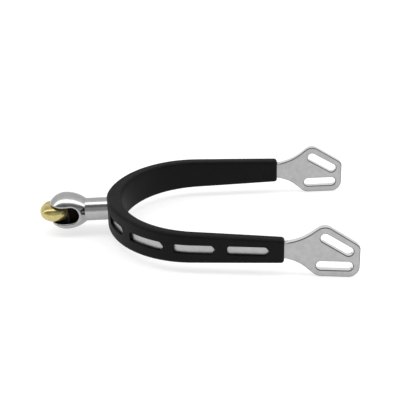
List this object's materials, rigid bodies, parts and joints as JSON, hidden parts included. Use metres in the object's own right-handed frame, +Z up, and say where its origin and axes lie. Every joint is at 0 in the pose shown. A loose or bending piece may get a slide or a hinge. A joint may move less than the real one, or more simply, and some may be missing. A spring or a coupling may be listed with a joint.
{
  "type": "horse riding spur",
  "caption": "Horseshoe-shaped riding spur with a rubber-covered steel heel band, slotted strap plates and a forked neck that holds a horizontal free-turning roller.",
  "frame": {"origin": "middle of the bottom of the whole spur's bounding box, at the height of the strap plates' lower edges", "axes": "+X from the roller towards the strap plates, +Y towards the left arm seen from the heel, +Z up"},
  "size_m": [0.1534, 0.0924, 0.0256],
  "materials": {
    "band_steel": "satin stainless steel",
    "cover_rubber": "matt black moulded rubber",
    "shank_steel": "polished stainless steel",
    "roller_brass": "polished brass",
    "axle_steel": "polished flush steel pin end"
  },
  "bodies": {
    "spur": {"heel_band": "band_steel", "grip_sleeve": "cover_rubber", "shank": "shank_steel", "roller_axle": "axle_steel"},
    "roller": {"roller": "roller_brass"}
  },
  "joints": [
    {"name": "roller_spin", "type": "hinge", "parent": "spur", "child": "roller", "pos_m": [-0.06924, 0, 0.01175], "axis": [-0.0436, 0, 0.999], "continuous": true}
  ]
}
